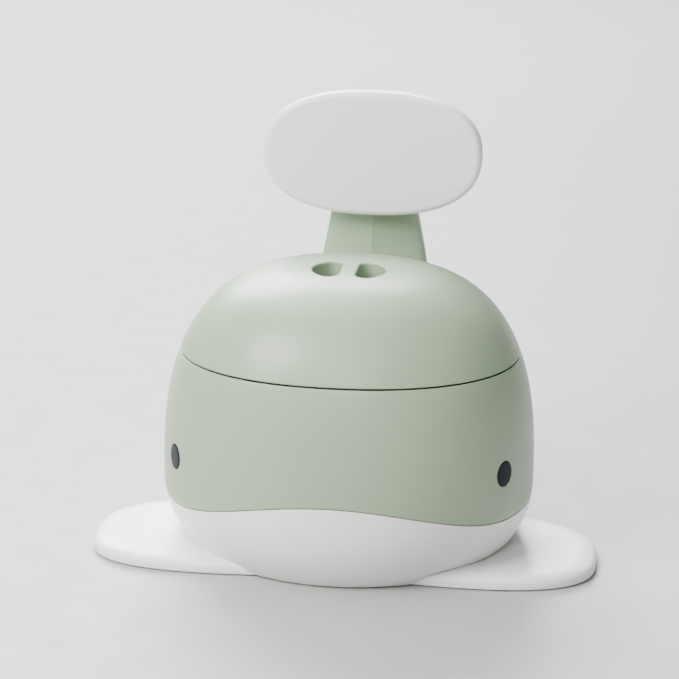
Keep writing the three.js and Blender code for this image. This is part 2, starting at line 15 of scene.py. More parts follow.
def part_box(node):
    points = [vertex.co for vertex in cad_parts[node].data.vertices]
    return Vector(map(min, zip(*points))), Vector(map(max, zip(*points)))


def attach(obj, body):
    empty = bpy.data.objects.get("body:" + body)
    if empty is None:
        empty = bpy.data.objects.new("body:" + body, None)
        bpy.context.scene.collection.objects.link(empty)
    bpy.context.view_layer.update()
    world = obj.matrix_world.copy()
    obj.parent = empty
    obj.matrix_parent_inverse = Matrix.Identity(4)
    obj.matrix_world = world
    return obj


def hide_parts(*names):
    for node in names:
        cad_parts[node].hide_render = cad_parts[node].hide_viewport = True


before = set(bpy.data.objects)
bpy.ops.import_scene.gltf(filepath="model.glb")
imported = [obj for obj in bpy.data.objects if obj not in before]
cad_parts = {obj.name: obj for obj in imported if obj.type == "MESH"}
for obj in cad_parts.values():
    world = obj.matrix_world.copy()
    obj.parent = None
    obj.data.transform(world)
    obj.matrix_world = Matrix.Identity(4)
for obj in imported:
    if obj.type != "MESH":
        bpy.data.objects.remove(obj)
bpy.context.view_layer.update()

MM = 0.001


def box_mm(node):
    """Lowest and highest corner of a CAD node, in millimetres."""
    low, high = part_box(node)
    return low / MM, high / MM


# ---------------------------------------------------------------- sizes

LID_LOW, LID_HIGH = box_mm("lid_dome")
PLATE_LOW, PLATE_HIGH = box_mm("base_plate")
PAD_LOW, PAD_HIGH = box_mm("backrest_front")
COVER_LOW, COVER_HIGH = box_mm("backrest_rear")
SEAT_LOW, SEAT_HIGH = box_mm("seat_ring")
POT_LOW, POT_HIGH = box_mm("inner_pot")
RIM_Z = box_mm("body_shell")[1].z
GUARD_LOW_Z = box_mm("splash_guard")[0].z
TAIL_TOP_Z = box_mm("tail_left")[1].z

CENTRE_Y = (LID_LOW.y + LID_HIGH.y) / 2
WALL = 3.0
GAP = 0.3
ROUND = 320  # points round the body
FINE_ROUND = 4096  # points on an outline before it is spaced evenly

HULL_HALF_WIDTH = 144.2
HULL_DEPTH_RATIO = 0.882
HULL_SQUARE_FOOT = 2.0  # the plan's exponent at the floor: 2 is an ellipse
HULL_SQUARE_RIM = 2.2  # and from the rim upwards
HULL_WIDEST_Z = 60.3
HULL_TOP_Z = 224.0
HULL_SHOULDER = 2.566  # exponents of the curve above the widest level
HULL_CROWN = 3.153
HULL_FOOT_HALF_WIDTH = 116.5
HULL_BILGE = 2.4  # exponent of the curve below it

MOUTH_MIDDLE_Z = 57.7
MOUTH_SWING = 12.05
MOUTH_WAVES = 2.864
MOUTH_SIDE_Z = 49.0
MOUTH_SIDE_START = 62.8
MOUTH_SIDE_SPAN = 30.0
LAP_HEIGHT = 6.0
LAP_SKIN = 1.4
LAP_CLEARANCE = 0.5
BODY_FOOT = 0.8  # the body's lower edge over the line that the belly ends at
BELLY_LIP = 0.7  # the skin outside a fine groove that keeps that line dark
BELLY_GROOVE = 2.2

RIM_THICK = 3.0
LEDGE_DROP = 4.0
SEAT_INSET = 18.9
RIM_LIP = 0.9  # the skin outside a shallow drip channel that runs round under the lid's edge
RIM_LIP_DROP = 0.4
RIM_CHANNEL = 1.6
RIM_CHANNEL_WIDTH = 5.0
POT_INSET = 26.9

FIN_FRONT_DEPTH = 87.1  # how far the fins reach ahead of their widest line
FIN_REAR_DEPTH = 72.1
FIN_FRONT_SQUARE = 2.9
FIN_REAR_SQUARE = 3.14
FIN_OFFSET_Y = 4.5
FIN_SWEEP = 0.141
FIN_SIDE_Z = 4.2  # where the straight side turns into the crowned top
FIN_CROWN_WIDTH = 20.0
FIN_CROWN_RISE = 3  # exponents of the crown's curve
FIN_CROWN_SQUARE = 2.8
FIN_SOLE_ROUND = 1.0
FIN_UNDER_RING = 14.0  # inset of a ring on the flat underside
FIN_POINTS = 640
FIN_OVERLAP = 0.4  # how far outside the fins the belly's foot starts to rise over them
FIN_STEP = 1.6  # and how far in plan it takes to rise

PLATE_FLOOR_LOW = 3.0  # the plate's round middle, over its underside
PLATE_FLOOR_HIGH = 7.0
STUB_START = 0.02  # keeps a stub's end off the plate's own underside
FOOT_STUB_WALL = 2.0
FOOT_STUB_HEIGHT = 5.0
SCREW_STUB_WALL = 2.5
SCREW_STUB_HEIGHT = 6.9
CUTTER_OVERRUN = 2.0  # how far a cutter runs out of what it cuts

BLOWHOLE_HALF_WIDTH = 28.0
BLOWHOLE_HALF_DEPTH = 25.2
BLOWHOLE_BAR = 12.7
BLOWHOLE_ROUND = 7.5
BLOWHOLE_Y = CENTRE_Y - 15.8
SLEEVE_WALL = 2.4
SLEEVE_DEPTH = 16.0

SCREW_HEAD = 4.0  # radii of a screw's head, its shank and its thread's root
SCREW_SHANK = 1.8
SCREW_ROOT = 1.4
SCREW_HEAD_HEIGHT = 2.4
SCREW_PITCH = 1.2
SCREW_SLOT_HALF_WIDTH = 0.5


# ---------------------------------------------------------------- the body's surface


def half_width(z):
    """Half width of the body's outer surface at height z."""
    z = np.asarray(z, float)
    rise = np.clip((z - HULL_WIDEST_Z) / (HULL_TOP_Z - HULL_WIDEST_Z), 0, 1)
    upper = HULL_HALF_WIDTH * (1 - rise**HULL_SHOULDER) ** (1 / HULL_CROWN)
    drop = np.clip((HULL_WIDEST_Z - z) / HULL_WIDEST_Z, 0, 1)
    lower = HULL_FOOT_HALF_WIDTH + (HULL_HALF_WIDTH - HULL_FOOT_HALF_WIDTH) * (1 - drop**HULL_BILGE)
    return np.where(z >= HULL_WIDEST_Z, upper, lower)


def dome_z(x, y, inset=0.0):
    """Height of the dome's surface over a point, inset below the outer one."""
    wide = HULL_HALF_WIDTH - inset
    deep = HULL_HALF_WIDTH * HULL_DEPTH_RATIO - inset
    square = HULL_SQUARE_RIM
    share = (np.abs(x / wide) ** square + np.abs((y - CENTRE_Y) / deep) ** square) ** (1 / square)
    rise = (1 - np.clip(share, 0, 1) ** HULL_CROWN) ** (1 / HULL_SHOULDER)
    return HULL_WIDEST_Z + (HULL_TOP_Z - inset - HULL_WIDEST_Z) * rise


def turns(count=ROUND):
    """Angles spread evenly over a full turn."""
    return np.linspace(0, 2 * math.pi, count, endpoint=False)


def reach(angle, square):
    """How far a squarish oval of unit size reaches in a direction."""
    return (np.abs(np.cos(angle)) ** square + np.abs(np.sin(angle)) ** square) ** (-1 / square)


def oval(half_x, half_y, z, square=2.0):
    """A ring round the body's middle, at height z or at a height for each of its points."""
    angle = turns()
    far = reach(angle, square)
    z = np.broadcast_to(z, angle.shape)
    return np.stack([half_x * far * np.cos(angle), CENTRE_Y + half_y * far * np.sin(angle), z], -1)


def hull_points(angle, z, inset=0.0):
    """Points on the body's surface, moved inwards by inset."""
    angle, z = np.broadcast_arrays(np.asarray(angle, float), np.asarray(z, float))
    half = half_width(z)
    square = HULL_SQUARE_FOOT + (HULL_SQUARE_RIM - HULL_SQUARE_FOOT) * np.clip(z / RIM_Z, 0, 1)
    far = reach(angle, square)
    x = (half - inset) * far * np.cos(angle)
    y = CENTRE_Y + (half * HULL_DEPTH_RATIO - inset) * far * np.sin(angle)
    return np.stack([x, y, z], -1)


def smoothstep(value):
    """Runs from 0 to 1 with level ends, as value does."""
    value = np.clip(value, 0, 1)
    return value * value * (3 - 2 * value)


def from_front(angle):
    """Degrees away from the whale's nose."""
    return np.abs((np.degrees(angle) + 270) % 360 - 180)


def mouth_z(angle):
    """Height of the smiling line between the white belly and the green body."""
    away = from_front(angle)
    front = MOUTH_MIDDLE_Z + MOUTH_SWING * np.cos(np.radians(MOUTH_WAVES * away))
    low = MOUTH_MIDDLE_Z - MOUTH_SWING
    side = low + (MOUTH_SIDE_Z - low) * smoothstep((away - MOUTH_SIDE_START) / MOUTH_SIDE_SPAN)
    return np.where(away < MOUTH_SIDE_START, front, side)


# ---------------------------------------------------------------- outlines


def fillet(profile, steps=5):
    """Rounds the corners of a closed outline. Each point is (coordinates..., radius)."""
    points = [np.array(p[:-1], float) for p in profile]
    made = []
    count = len(points)
    for i, point in enumerate(points):
        radius = profile[i][-1]
        if not radius:
            made.append(point)
            continue
        before = points[i - 1] - point
        after = points[(i + 1) % count] - point
        before_unit = before / np.linalg.norm(before)
        after_unit = after / np.linalg.norm(after)
        half = math.acos(np.clip(before_unit @ after_unit, -1, 1)) / 2
        setback = radius / math.tan(half)
        centre = point + (before_unit + after_unit) / np.linalg.norm(before_unit + after_unit) * (
            radius / math.sin(half)
        )
        start = point + before_unit * setback - centre
        end = point + after_unit * setback - centre
        sweep = math.pi - 2 * half
        for step in range(steps + 1):
            turn = sweep * step / steps
            arc = (math.sin(sweep - turn) * start + math.sin(turn) * end) / math.sin(sweep)
            made.append(centre + arc)
    return made


def refine(points, longest, closed=True):
    """Adds points along stretches that are longer than longest."""
    made = []
    count = len(points)
    for i in range(count if closed else count - 1):
        a, b = points[i], points[(i + 1) % count]
        pieces = max(1, math.ceil(np.linalg.norm(b - a) / longest))
        made += [a + (b - a) * step / pieces for step in range(pieces)]
    if not closed:
        made.append(points[-1])
    return made


def resample(points, count):
    """Spaces a closed line's points evenly along its length."""
    closed = np.vstack([points, points[:1]])
    along = np.concatenate([[0], np.cumsum(np.linalg.norm(np.diff(closed, axis=0), axis=1))])
    wanted = np.linspace(0, along[-1], count, endpoint=False)
    return np.stack([np.interp(wanted, along, closed[:, k]) for k in range(closed.shape[1])], -1)


def superellipse(half_x, half_y, square, count):
    """An oval with squarer shoulders, with even spacing."""
    angle = turns(FINE_ROUND)
    far = reach(angle, square)
    return resample(np.stack([half_x * far * np.cos(angle), half_y * far * np.sin(angle)], -1), count)


def grown(outline, amount):
    """Moves a counter-clockwise outline outwards along its normals."""
    along = np.roll(outline, -1, axis=0) - np.roll(outline, 1, axis=0)
    along /= np.linalg.norm(along, axis=1)[:, None]
    return outline + amount * np.stack([along[:, 1], -along[:, 0]], -1)


def at_height(line, z):
    """Points of a plan outline at height z, or at a height for each of them."""
    return np.column_stack([line, np.broadcast_to(z, len(line))])


# ---------------------------------------------------------------- mesh making


def loft_faces(ring_count, size, wrap, first=0):
    """Quads between rings of the same size; wrap also joins the last ring to the first."""
    faces = []
    for r in range(ring_count if wrap else ring_count - 1):
        a = first + r * size
        b = first + (r + 1) % ring_count * size
        faces += [(a + i, a + (i + 1) % size, b + (i + 1) % size, b + i) for i in range(size)]
    return faces


class Shape:
    """Collects points and faces in millimetres for one mesh."""

    def __init__(self):
        self.points = []
        self.faces = []

    def loft(self, rings, wrap=False, start_cap=False, end_cap=False):
        """A skin over rings with the same number of points."""
        first = len(self.points)
        size = len(rings[0])
        self.points += [tuple(p) for ring in rings for p in ring]
        self.faces += loft_faces(len(rings), size, wrap, first)
        if start_cap:
            self.faces.append(tuple(first + i for i in reversed(range(size))))
        if end_cap:
            last = first + (len(rings) - 1) * size
            self.faces.append(tuple(last + i for i in range(size)))
        return self

    def patch(self, outer, holes, height):
        """A sheet over the plan inside outer and outside holes, at height(x, y)."""
        flat = []
        edges = []
        for loop in (outer, *holes):
            start = len(flat)
            size = len(loop)
            flat += [Vector((p[0], p[1])) for p in loop]
            edges += [(start + i, start + (i + 1) % size) for i in range(size)]
        step = 2.5  # between the points that are spread over the sheet
        margin = step * 0.6
        low, high = np.min(outer, axis=0), np.max(outer, axis=0)
        spare = [
            Vector((x, y))
            for x in np.arange(low[0], high[0], step)
            for y in np.arange(low[1], high[1], step)
            if clearance((x, y), outer, True) > margin
            and all(clearance((x, y), hole, False) > margin for hole in holes)
        ]
        found = delaunay_2d_cdt(flat + spare, edges, [], 0, 1e-6)
        corners, triangles = found[0], found[2]
        first = len(self.points)
        self.points += [(p.x, p.y, float(height(p.x, p.y))) for p in corners]
        for triangle in triangles:
            middle = sum((corners[i] for i in triangle), Vector((0, 0))) / len(triangle)
            if inside(middle, outer) and not any(inside(middle, hole) for hole in holes):
                self.faces.append(tuple(first + i for i in triangle))
        return self


def inside(point, loop):
    """True if a point lies inside a closed line in plan."""
    x, y = point[0], point[1]
    a = np.asarray(loop)[:, :2]
    b = np.roll(a, -1, axis=0)
    crosses = (a[:, 1] > y) != (b[:, 1] > y)
    with np.errstate(divide="ignore", invalid="ignore"):
        at = a[:, 0] + (y - a[:, 1]) / (b[:, 1] - a[:, 1]) * (b[:, 0] - a[:, 0])
    return bool(np.count_nonzero(crosses & (x < at)) % 2)


def clearance(point, loop, want_inside):
    """Distance to a closed line, negative on the wrong side of it."""
    distance = np.min(np.linalg.norm(np.asarray(loop)[:, :2] - np.asarray(point), axis=1))
    return distance if inside(point, loop) == want_inside else -distance


def piece(name, shape, material, body, node, cutters=(), sharp=50, part=None):
    """Makes a shape into a piece that stands for a CAD node and rides on its body.

    The object part, if there is one, is joined to it before the cutters are taken away.
    """
    obj = bare_object(name, shape)
    if part:
        cut(obj, part, "UNION")
    for cutter in cutters:
        cut(obj, bare_object("cutter", cutter))
    obj.data.shade_smooth()
    obj.data.set_sharp_from_angle(angle=math.radians(sharp))
    obj.data.materials.append(material)
    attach(obj, body)
    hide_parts(node)


def bare_object(name, shape):
    """An object made of a shape's mesh, closed, with its faces pointing out."""
    mesh = bpy.data.meshes.new(name)
    mesh.from_pydata([Vector(p) * MM for p in shape.points], [], shape.faces)
    made = bmesh.new()
    made.from_mesh(mesh)
    bmesh.ops.remove_doubles(made, verts=made.verts, dist=2e-6)
    bmesh.ops.recalc_face_normals(made, faces=made.faces)
    if made.calc_volume(signed=True) < 0:
        bmesh.ops.reverse_faces(made, faces=made.faces)
    made.to_mesh(mesh)
    made.free()
    obj = bpy.data.objects.new(name, mesh)
    bpy.context.scene.collection.objects.link(obj)
    return obj


def cut(obj, cutter, operation="DIFFERENCE"):
    """Cuts obj with another object, or joins the two, and removes the other object."""
    modifier = obj.modifiers.new("cut", "BOOLEAN")
    modifier.operation = operation
    modifier.solver = "EXACT"
    modifier.object = cutter
    graph = bpy.context.evaluated_depsgraph_get()
    mesh = bpy.data.meshes.new_from_object(obj.evaluated_get(graph))
    obj.modifiers.clear()
    obj.data = mesh
    bpy.data.objects.remove(cutter)


def rod(radius, start, end, count=40):
    """A closed cylinder between two points, as a shape."""
    start, end = Vector(start), Vector(end)
    turn = Vector((0, 0, 1)).rotation_difference(end - start).to_matrix()
    angle = turns(count)
    ring = [turn @ Vector((radius * math.cos(t), radius * math.sin(t), 0)) for t in angle]
    rings = [[start + p for p in ring], [end + p for p in ring]]
    return Shape().loft(rings, start_cap=True, end_cap=True)


# ---------------------------------------------------------------- materials


def node(tree, kind, **values):
    """A new shader node, with values for its sockets or its settings."""
    made = tree.nodes.new(kind)
    for key, value in values.items():
        if key in made.inputs:
            made.inputs[key].default_value = value
        else:
            setattr(made, key, value)
    return made


def moulded(name, low, high, roughness, grain=0.05, bump=0.02, specular=0.5):
    """Satin moulded plastic: faint cloudiness in its colour and gloss, and a fine spark texture."""
    material = bpy.data.materials.new(name)
    material.use_nodes = True
    tree = material.node_tree
    tree.nodes.clear()
    link = tree.links.new
    out = node(tree, "ShaderNodeOutputMaterial")
    shader = node(tree, "ShaderNodeBsdfPrincipled")
    link(shader.outputs["BSDF"], out.inputs["Surface"])
    shader.inputs["IOR"].default_value = 1.49
    shader.inputs["Specular IOR Level"].default_value = specular
    place = node(tree, "ShaderNodeTexCoord")
    cloud = node(tree, "ShaderNodeTexNoise", Scale=9.0, Detail=4.0, Roughness=0.55)
    link(place.outputs["Object"], cloud.inputs["Vector"])
    tint = node(tree, "ShaderNodeMix", data_type="RGBA")
    factor, first, second = (tint.inputs[i] for i in (0, 6, 7))  # of a colour mix
    first.default_value = (*low, 1)
    second.default_value = (*high, 1)
    link(cloud.outputs["Fac"], factor)
    link(tint.outputs[2], shader.inputs["Base Color"])
    spark = node(tree, "ShaderNodeTexNoise", Scale=1400.0, Detail=2.0, Roughness=0.6)
    link(place.outputs["Object"], spark.inputs["Vector"])
    wipe = node(tree, "ShaderNodeTexNoise", Scale=26.0, Detail=5.0, Roughness=0.6)
    link(place.outputs["Object"], wipe.inputs["Vector"])
    gloss = node(tree, "ShaderNodeMapRange")
    gloss.inputs["From Min"].default_value = 0.3
    gloss.inputs["From Max"].default_value = 0.7
    gloss.inputs["To Min"].default_value = roughness - grain
    gloss.inputs["To Max"].default_value = roughness + grain
    link(wipe.outputs["Fac"], gloss.inputs["Value"])
    link(gloss.outputs["Result"], shader.inputs["Roughness"])
    raised = node(tree, "ShaderNodeBump", Strength=bump, Distance=0.0004)
    link(spark.outputs["Fac"], raised.inputs["Height"])
    link(raised.outputs["Normal"], shader.inputs["Normal"])
    return material


def metal(name):
    """Plated steel, with the same faint cloudiness."""
    material = moulded(name, (0.52, 0.53, 0.54), (0.62, 0.63, 0.64), 0.32, 0.06, 0.05)
    shader = next(n for n in material.node_tree.nodes if n.type == "BSDF_PRINCIPLED")
    shader.inputs["Metallic"].default_value = 1.0
    return material


SAGE = moulded("sage_plastic", (0.288, 0.374, 0.256), (0.306, 0.392, 0.271), 0.39)
WHITE = moulded("white_plastic", (0.845, 0.84, 0.827), (0.87, 0.865, 0.852), 0.4)
SLATE = moulded("slate_plastic", (0.01, 0.013, 0.016), (0.013, 0.017, 0.02), 0.3, specular=0.08)
RUBBER = moulded("grey_rubber", (0.22, 0.225, 0.23), (0.27, 0.275, 0.28), 0.75, 0.08, 0.15)
STEEL = metal("zinc_steel")


# ---------------------------------------------------------------- base plate with the two fins


def fin_outline(count):
    """The plate's outline: an oval whose two ends are swept towards the front."""
    angle = turns(FINE_ROUND)
    ahead = np.sin(angle) < 0
    square = np.where(ahead, FIN_FRONT_SQUARE, FIN_REAR_SQUARE)
    far = reach(angle, square)
    x = PLATE_HIGH.x * far * np.cos(angle)
    y = np.where(ahead, FIN_FRONT_DEPTH, FIN_REAR_DEPTH) * far * np.sin(angle)
    y += CENTRE_Y + FIN_OFFSET_Y - FIN_SWEEP * np.abs(x)
    return resample(np.stack([x, y], -1), count)


FIN_LINE = fin_outline(FIN_POINTS)


def fin_inside(x, y):
    """How far a point lies inside the plate's outline, in plan."""
    points = np.stack([np.ravel(x), np.ravel(y)], -1)
    made = [clearance(p, FIN_LINE, True) for p in points]
    return np.array(made).reshape(np.shape(x))


def fin_top(depth):
    """Height of the plate's softly crowned top, at a distance inside its outline."""
    share = np.clip(np.asarray(depth) / FIN_CROWN_WIDTH, 0, 1)
    rise = (1 - (1 - share) ** FIN_CROWN_RISE) ** (1 / FIN_CROWN_SQUARE)
    return FIN_SIDE_Z + (PLATE_HIGH.z - FIN_SIDE_Z) * rise


def nodes_named(prefix):
    """The CAD nodes of one kind, as their boxes' lowest and highest corners."""
    return [(name, *box_mm(name)) for name in sorted(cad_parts) if name.startswith(prefix)]


def make_belly_floor():
    """The plate's round middle, which closes the belly from below."""
    line = hull_points(turns(), PLATE_LOW.z, WALL + GAP)[:, :2]
    rings = [at_height(line, PLATE_LOW.z + z) for z in (PLATE_FLOOR_LOW, PLATE_FLOOR_HIGH)]
    return bare_object("belly_floor", Shape().loft(rings, start_cap=True, end_cap=True))


def pocket(under, centre, radius, wall, stub_height, roof, count):
    """Joins a round stub to the plate's middle, and makes the cutter of the pocket in it."""
    x, y = centre.x, centre.y
    floor = PLATE_LOW.z
    stub = rod(radius + wall, (x, y, floor + STUB_START), (x, y, floor + stub_height), count)
    cut(under, bare_object("stub", stub), "UNION")
    return rod(radius + GAP, (x, y, floor - CUTTER_OVERRUN), (x, y, roof + GAP), count)


def make_base_plate():
    """The plate with its two fins, and a pocket for each foot and each screw's head."""
    low_z = PLATE_LOW.z
    sole = FIN_SOLE_ROUND
    underside = [(FIN_UNDER_RING, low_z)]
    for turn in np.linspace(0, math.pi / 2, 5):
        underside.append((sole * (1 - math.sin(turn)), low_z + sole * (1 - math.cos(turn))))
    depths = FIN_CROWN_WIDTH * np.linspace(0, 1, 22) ** 2
    crown = [(depth, float(fin_top(depth))) for depth in depths]
    rings = [at_height(grown(FIN_LINE, -inset), z) for inset, z in underside + crown]
    middle = np.array([0, CENTRE_Y, 0])
    lower, upper = rings[0], rings[-1]
    rings = [middle + (lower - middle) * [share, share, 1] for share in (0.2, 0.4, 0.6, 0.8)] + rings
    rings += [middle + (upper - middle) * [share, share, 1] for share in (0.8, 0.6, 0.4, 0.2)]
    shape = Shape().loft(rings, start_cap=True, end_cap=True)
    cutters = []
    under = make_belly_floor()
    for _, low, high in nodes_named("rubber_foot"):
        radius = (high.x - low.x) / 2
        stub = (FOOT_STUB_WALL, FOOT_STUB_HEIGHT)
        cutters.append(pocket(under, (low + high) / 2, radius, *stub, high.z, 48))
    for _, low, high in nodes_named("base_screw"):
        stub = (SCREW_STUB_WALL, SCREW_STUB_HEIGHT)
        roof = low.z + SCREW_HEAD_HEIGHT
        cutters.append(pocket(under, (low + high) / 2, SCREW_HEAD, *stub, roof, 40))
    piece("base_plate_skin", shape, WHITE, "base", "base_plate", cutters, part=under)


# ---------------------------------------------------------------- belly and body shells


def shell_rings(profile, low=None):
    """Rings for (inset, fixed height, share of the mouth line's height, share of low's)."""
    angle = turns()
    mouth = mouth_z(angle)
    rings = []
    for inset, fixed, of_mouth, of_low in profile:
        z = fixed + of_mouth * mouth
        if of_low:
            z = z + of_low * low(angle, inset)
        rings.append(hull_points(angle, z, inset))
    return rings


def long_stretch(start, end, count):
    """Points between two others, which cut that stretch into count parts."""
    start, end = np.array(start, float), np.array(end, float)
    return [start + (end - start) * step / count for step in range(1, count)]


def belly_foot(angle, inset):
    """Height of the belly's lower edge: on the floor, and just over the fins where they pass."""
    at = hull_points(angle, PLATE_HIGH.z / 2, inset)
    depth = fin_inside(at[:, 0], at[:, 1])
    over = smoothstep((depth + FIN_OVERLAP) / FIN_STEP)
    return PLATE_LOW.z + (fin_top(np.maximum(depth, 0)) + GAP - PLATE_LOW.z) * over


def make_belly():
    """The white shell, from its foot up the outside, round the lap at its top and down the inside."""
    corner = 1.6
    foot = fillet(
        [(0, 0, 0, 1, 0.9), (0, corner, 0, 1, 0), (WALL, corner, 0, 1, 0), (WALL, 0, 0, 1, 0.6)]
    )
    split = next(i for i, p in enumerate(foot) if p[1] == corner and p[0] == 0)
    before = foot[: split + 1]
    after = foot[split + 1 :]
    top = fillet(
        [
            (0, -corner, 1, 0, 0),
            (0, 0, 1, 0, 0.3),
            (BELLY_LIP, 0, 1, 0, 0.2),
            (BELLY_LIP, -BELLY_GROOVE, 1, 0, 0.2),
            (LAP_SKIN + LAP_CLEARANCE, -BELLY_GROOVE, 1, 0, 0.2),
            (LAP_SKIN + LAP_CLEARANCE, LAP_HEIGHT, 1, 0, 0.3),
            (WALL, LAP_HEIGHT, 1, 0, 0.3),
            (WALL, -corner, 1, 0, 0),
        ]
    )
    rise = long_stretch(before[-1], top[0], 26)
    fall = long_stretch(top[-1], after[0], 26)
    shape = Shape().loft(shell_rings([*before, *rise, *top, *fall, *after], belly_foot), wrap=True)
    piece("belly_skin", shape, WHITE, "base", "belly_shell")


def at_rim(inset, z):
    """An inset measured from the body's outline at the rim, at another height."""
    return (inset + float(half_width(z) - half_width(RIM_Z)), z, 0, 0)


def make_body():
    """The green shell, up the outside, in along the rim and the pot's ledge, and down the inside."""
    ledge = RIM_Z - LEDGE_DROP
    profile = [
        ((0, BODY_FOOT, 1, 0), 0.4),
        ((0, 3, 1, 0), 0),
        ((0, RIM_Z - 4, 0, 0), 0),
        ((0, RIM_Z - RIM_LIP_DROP, 0, 0), 0.3),
        (at_rim(RIM_LIP, RIM_Z - RIM_LIP_DROP), 0.2),
        (at_rim(RIM_LIP, RIM_Z - RIM_CHANNEL), 0.3),
        (at_rim(RIM_LIP + RIM_CHANNEL_WIDTH, RIM_Z - RIM_CHANNEL), 0.3),
        (at_rim(RIM_LIP + RIM_CHANNEL_WIDTH, RIM_Z), 0.5),
        (at_rim(SEAT_INSET, RIM_Z), 0.7),
        (at_rim(SEAT_INSET, ledge), 0.6),
        (at_rim(POT_INSET, ledge), 0.9),
        (at_rim(POT_INSET, ledge - RIM_THICK), 0.9),
        (at_rim(SEAT_INSET - RIM_THICK, ledge - RIM_THICK), 0.8),
        (at_rim(SEAT_INSET - RIM_THICK, RIM_Z - RIM_THICK), 0.8),
        ((WALL, RIM_Z - RIM_THICK, 0, 0), 1.2),
        ((WALL, RIM_Z - 10, 0, 0), 0),
        ((WALL, LAP_HEIGHT + 3, 1, 0), 0),
        ((WALL, LAP_HEIGHT + GAP, 1, 0), 0.3),
        ((LAP_SKIN, LAP_HEIGHT + GAP, 1, 0), 0.3),
        ((LAP_SKIN, BODY_FOOT, 1, 0), 0.3),
    ]
    rounded = fillet([(*point, radius) for point, radius in profile])
    full = []
    for i, point in enumerate(rounded):
        full.append(point)
        following = rounded[(i + 1) % len(rounded)]
        if abs(point[2] - following[2]) > 0.5:
            full += long_stretch(point, following, 44)
    shape = Shape().loft(shell_rings(full), wrap=True)
    sockets = [eye_shape(side, GAP, EYE_CUTTER_FRONT) for side in (-1, 1)]
    piece("body_skin", shape, SAGE, "base", "body_shell", sockets)


# ---------------------------------------------------------------- eyes


EYE_FROM_FRONT = 58.8
EYE_Z = 84.2
EYE_HALF_WIDTH = 8.9
EYE_HALF_HEIGHT = 9.9
EYE_PROUD = 0.5
EYE_RECESS = 1.4
EYE_EDGE = 0.9
EYE_CUTTER_FRONT = 4.0


def eye_shape(side, grow, front):
    """An oval block across the body's surface, from the recess out to front, with a soft edge."""
    start = math.radians(-90 + side * EYE_FROM_FRONT)
    nudge = 1e-3
    step = hull_points(start + nudge, EYE_Z) - hull_points(start - nudge, EYE_Z)
    speed = np.linalg.norm(step) / (2 * nudge)
    profile = [(1.0, -EYE_RECESS - grow), (1.0, front - EYE_EDGE)]
    profile += [
        (1 - EYE_EDGE / EYE_HALF_WIDTH * (1 - math.cos(t)), front - EYE_EDGE * (1 - math.sin(t)))
        for t in np.linspace(0, math.pi / 2, 7)[1:]
    ]
    profile += [(0.7, front), (0.35, front)]
    rings = []
    for share, height in profile:
        turn = turns(96)
        angle = start + (EYE_HALF_WIDTH + grow) * share * np.cos(turn) / speed
        z = EYE_Z + (EYE_HALF_HEIGHT + grow) * share * np.sin(turn)
        at = hull_points(angle, z)
        around = hull_points(angle + nudge, z) - at
        upward = hull_points(angle, z + nudge) - at
        outward = np.cross(around, upward)
        outward /= np.linalg.norm(outward, axis=1)[:, None]
        rings.append(at + outward * height)
    return Shape().loft(rings, start_cap=True, end_cap=True)


def make_eye(side):
    """A dark oval plug that follows the body's curve."""
    name = "left" if side < 0 else "right"
    shape = eye_shape(side, 0, EYE_PROUD)
    piece(f"eye_{name}_skin", shape, SLATE, "base", f"eye_{name}")


# ---------------------------------------------------------------- lid


def blowhole_outline(side, amount=0.0):
    """A D-shaped hole, grown by amount: half of an oval with a straight side and round corners."""
    wide = BLOWHOLE_HALF_WIDTH - BLOWHOLE_ROUND
    deep = BLOWHOLE_HALF_DEPTH - BLOWHOLE_ROUND
    inner = BLOWHOLE_BAR / 2 + BLOWHOLE_ROUND
    radius = BLOWHOLE_ROUND + amount
    corner = math.acos(inner / wide)
    line = []
    for turn in np.linspace(-corner, corner, 48):
        outward = np.array([math.cos(turn) / wide, math.sin(turn) / deep])
        outward /= np.linalg.norm(outward)
        line.append(np.array([wide * math.cos(turn), deep * math.sin(turn)]) + radius * outward)
    tilt = math.atan2(math.sin(corner) / deep, math.cos(corner) / wide)
    corner_y = deep * math.sin(corner)
    for turn in np.linspace(tilt, math.pi, 14)[1:]:
        line.append(np.array([inner + radius * math.cos(turn), corner_y + radius * math.sin(turn)]))
    for y in np.linspace(corner_y, -corner_y, 10)[1:-1]:
        line.append(np.array([inner - radius, y]))
    for turn in np.linspace(math.pi, 2 * math.pi - tilt, 14)[:-1]:
        line.append(np.array([inner + radius * math.cos(turn), -corner_y + radius * math.sin(turn)]))
    line = np.array(line)
    line[:, 0] *= side
    line[:, 1] += BLOWHOLE_Y
    return line[::side]


